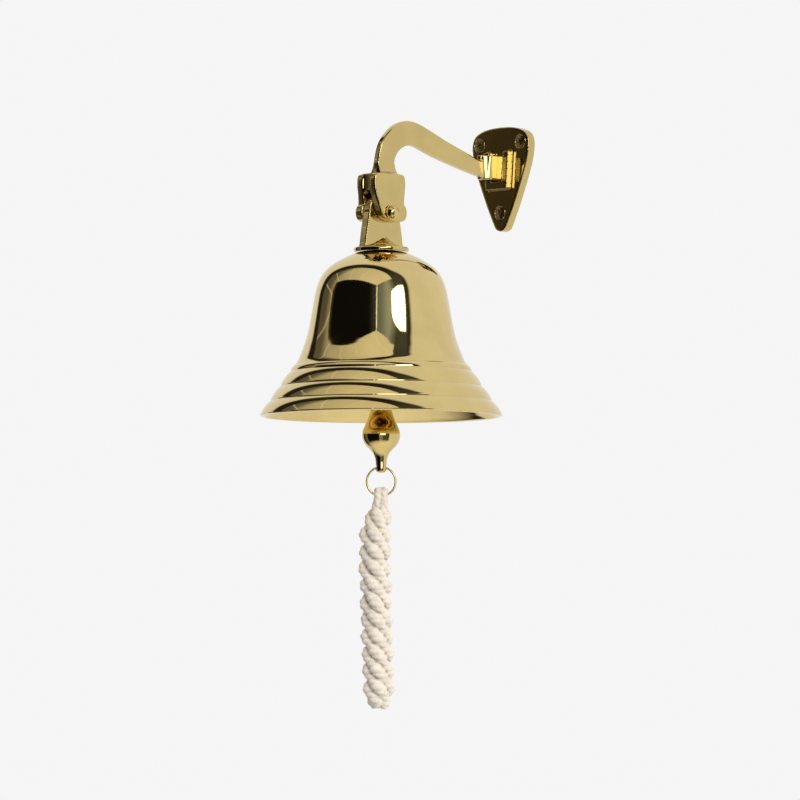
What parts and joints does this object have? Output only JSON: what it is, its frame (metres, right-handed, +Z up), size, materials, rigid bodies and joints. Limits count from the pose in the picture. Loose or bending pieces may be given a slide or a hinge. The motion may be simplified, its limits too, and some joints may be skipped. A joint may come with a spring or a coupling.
{
  "type": "ship bell",
  "caption": "Wall-hung brass ship bell on a lift-off swan-neck bracket, with a swinging clapper and a knotted cotton rope lanyard.",
  "frame": {"origin": "middle of the wall plate's back face, on solid material", "axes": "+Z up, +Y into the wall, the arm reaches out along -Y and the bell hangs at Y = -0.108"},
  "size_m": [0.15, 0.183, 0.3688],
  "materials": {
    "bell_brass": "mirror polished and lacquered",
    "bracket_brass": "cast, polished and lacquered",
    "fitting_brass": "polished",
    "screw_brass": "semi-gloss",
    "clapper_brass": "turned and polished",
    "ring_brass": "bright drawn wire",
    "cotton_rope": "natural undyed cotton, matte"
  },
  "bodies": {
    "wall": {"wall_plate": "bracket_brass", "wall_screw_upper_left": "screw_brass", "wall_screw_upper_right": "screw_brass", "wall_screw_lower": "screw_brass"},
    "bracket": {"bracket_arm": "bracket_brass", "pivot_bolt": "fitting_brass", "pivot_washer_left": "fitting_brass", "pivot_washer_right": "fitting_brass", "pivot_nut": "fitting_brass"},
    "bell": {"bell_shell": "bell_brass", "crown_hanger": "bracket_brass", "crown_washer": "fitting_brass", "crown_nut": "fitting_brass", "clapper_eye": "fitting_brass"},
    "link": {"clapper_link": "fitting_brass"},
    "clapper": {"clapper_rod": "fitting_brass", "clapper_lock_nut": "fitting_brass", "clapper_ball": "clapper_brass"},
    "ring": {"lanyard_ring": "ring_brass"},
    "rope": {"lanyard_becket": "cotton_rope", "lanyard": "cotton_rope"}
  },
  "joints": [
    {"name": "bracket_lift", "type": "slide", "parent": "wall", "child": "bracket", "axis": [0, 0, 1], "range_m": [0, 0.022]},
    {"name": "bell_swing", "type": "hinge", "parent": "bracket", "child": "bell", "pos_m": [0, -0.108, -0.0275], "axis": [1, 0, 0], "range_deg": [-30, 15]},
    {"name": "link_swing", "type": "hinge", "parent": "bell", "child": "link", "pos_m": [0, -0.108, -0.0757], "axis": [1, 0, 0], "range_deg": [-32, 32]},
    {"name": "clapper_swing", "type": "hinge", "parent": "link", "child": "clapper", "pos_m": [0, -0.108, -0.0924], "axis": [0, 1, 0], "range_deg": [-20, 20]},
    {"name": "ring_swing", "type": "hinge", "parent": "clapper", "child": "ring", "pos_m": [0, -0.108, -0.1853], "axis": [0.6947, 0.7193, 0], "range_deg": [-45, 45]},
    {"name": "rope_swing", "type": "hinge", "parent": "ring", "child": "rope", "pos_m": [0, -0.108, -0.2031], "axis": [0.6947, 0.7193, 0], "range_deg": [-45, 45]}
  ]
}
